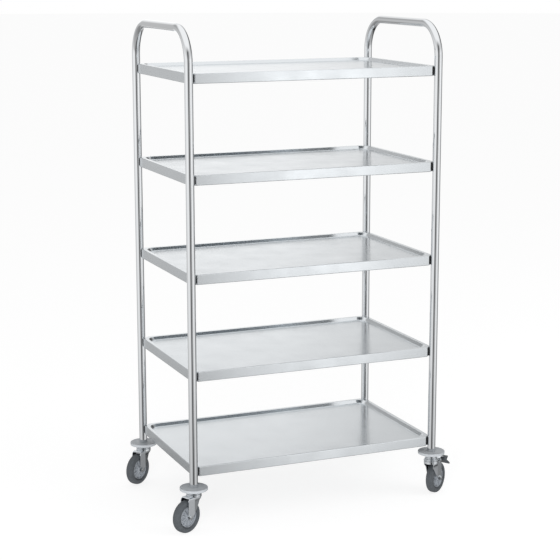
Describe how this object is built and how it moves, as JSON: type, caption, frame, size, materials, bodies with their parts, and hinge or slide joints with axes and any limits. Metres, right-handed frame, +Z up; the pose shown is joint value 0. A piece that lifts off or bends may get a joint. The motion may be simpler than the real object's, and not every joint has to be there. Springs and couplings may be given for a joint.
{
  "type": "service trolley",
  "caption": "Tall shelf trolley for hotel and kitchen service: bent tube end frames with push handles, sunk tray shelves, bumper discs, swivel casters with foot brakes.",
  "frame": {"origin": "on the floor, under the middle of the rectangle of the four posts", "axes": "+X along the shelves from the left handle to the right handle, +Y from the front to the back, +Z up"},
  "size_m": [0.9726, 0.5789, 1.5067],
  "materials": {
    "tube_steel": "mirror-polished stainless tube",
    "shelf_steel": "satin stainless sheet",
    "fastener_steel": "stainless fasteners",
    "zinc_steel": "bright zinc-plated pressed steel",
    "ball_steel": "ground steel balls",
    "saddle_plastic": "black moulded nylon",
    "disc_plastic": "light grey moulded plastic",
    "wheel_plastic": "grey moulded polypropylene",
    "pedal_plastic": "dark grey moulded nylon",
    "tyre_rubber": "grey non-marking rubber"
  },
  "bodies": {
    "trolley": {"left_end_frame": "tube_steel", "right_end_frame": "tube_steel", "gusset_plates": "shelf_steel", "post_saddles": "saddle_plastic", "corner_bolts": "fastener_steel", "corner_washers": "fastener_steel", "rivet_nuts": "fastener_steel", "tube_expanders": "saddle_plastic", "cone_nuts": "fastener_steel", "kingpins": "zinc_steel", "brake_collars": "zinc_steel", "upper_races": "zinc_steel", "upper_balls": "ball_steel", "lower_balls": "ball_steel", "lower_races": "zinc_steel", "shelf_1": "shelf_steel", "shelf_2": "shelf_steel", "shelf_3": "shelf_steel", "shelf_4": "shelf_steel", "shelf_5": "shelf_steel", "bumper_disc_fl": "disc_plastic", "bumper_disc_fr": "disc_plastic", "bumper_disc_bl": "disc_plastic", "bumper_disc_br": "disc_plastic"},
    "caster_fl": {"fork_fl": "zinc_steel", "axle_bolt_fl": "fastener_steel", "axle_nut_fl": "fastener_steel", "axle_sleeve_fl": "zinc_steel"},
    "wheel_fl": {"wheel_centre_fl": "wheel_plastic", "tyre_fl": "tyre_rubber"},
    "caster_fr": {"fork_fr": "zinc_steel", "axle_bolt_fr": "fastener_steel", "axle_nut_fr": "fastener_steel", "axle_sleeve_fr": "zinc_steel", "brake_pin_fr": "fastener_steel"},
    "wheel_fr": {"wheel_centre_fr": "wheel_plastic", "tyre_fr": "tyre_rubber"},
    "brake_fr": {"brake_lever_fr": "zinc_steel", "brake_pad_fr": "pedal_plastic"},
    "caster_bl": {"fork_bl": "zinc_steel", "axle_bolt_bl": "fastener_steel", "axle_nut_bl": "fastener_steel", "axle_sleeve_bl": "zinc_steel"},
    "wheel_bl": {"wheel_centre_bl": "wheel_plastic", "tyre_bl": "tyre_rubber"},
    "caster_br": {"fork_br": "zinc_steel", "axle_bolt_br": "fastener_steel", "axle_nut_br": "fastener_steel", "axle_sleeve_br": "zinc_steel", "brake_pin_br": "fastener_steel"},
    "wheel_br": {"wheel_centre_br": "wheel_plastic", "tyre_br": "tyre_rubber"},
    "brake_br": {"brake_lever_br": "zinc_steel", "brake_pad_br": "pedal_plastic"}
  },
  "joints": [
    {"name": "swivel_fl", "type": "hinge", "parent": "trolley", "child": "caster_fl", "pos_m": [-0.4025, -0.245, 0.11], "axis": [0, 0, 1], "continuous": true},
    {"name": "roll_fl", "type": "hinge", "parent": "caster_fl", "child": "wheel_fl", "pos_m": [-0.43224, -0.25931, 0.05], "axis": [0.4337, -0.9011, 0], "continuous": true},
    {"name": "swivel_fr", "type": "hinge", "parent": "trolley", "child": "caster_fr", "pos_m": [0.4025, -0.245, 0.11], "axis": [0, 0, 1], "continuous": true},
    {"name": "roll_fr", "type": "hinge", "parent": "caster_fr", "child": "wheel_fr", "pos_m": [0.4296, -0.22617, 0.05], "axis": [-0.5707, 0.8211, 0], "continuous": true},
    {"name": "brake_fr", "type": "hinge", "parent": "caster_fr", "child": "brake_fr", "pos_m": [0.43042, -0.2256, 0.108], "axis": [-0.5707, 0.8211, 0], "range_deg": [0, 10]},
    {"name": "swivel_bl", "type": "hinge", "parent": "trolley", "child": "caster_bl", "pos_m": [-0.4025, 0.245, 0.11], "axis": [0, 0, 1], "continuous": true},
    {"name": "roll_bl", "type": "hinge", "parent": "caster_bl", "child": "wheel_bl", "pos_m": [-0.42973, 0.22636, 0.05], "axis": [0.565, -0.8251, 0], "continuous": true},
    {"name": "swivel_br", "type": "hinge", "parent": "trolley", "child": "caster_br", "pos_m": [0.4025, 0.245, 0.11], "axis": [0, 0, 1], "continuous": true},
    {"name": "roll_br", "type": "hinge", "parent": "caster_br", "child": "wheel_br", "pos_m": [0.37062, 0.25354, 0.05], "axis": [-0.2588, -0.9659, 0], "continuous": true},
    {"name": "brake_br", "type": "hinge", "parent": "caster_br", "child": "brake_br", "pos_m": [0.36966, 0.2538, 0.108], "axis": [-0.2588, -0.9659, 0], "range_deg": [0, 10]}
  ]
}
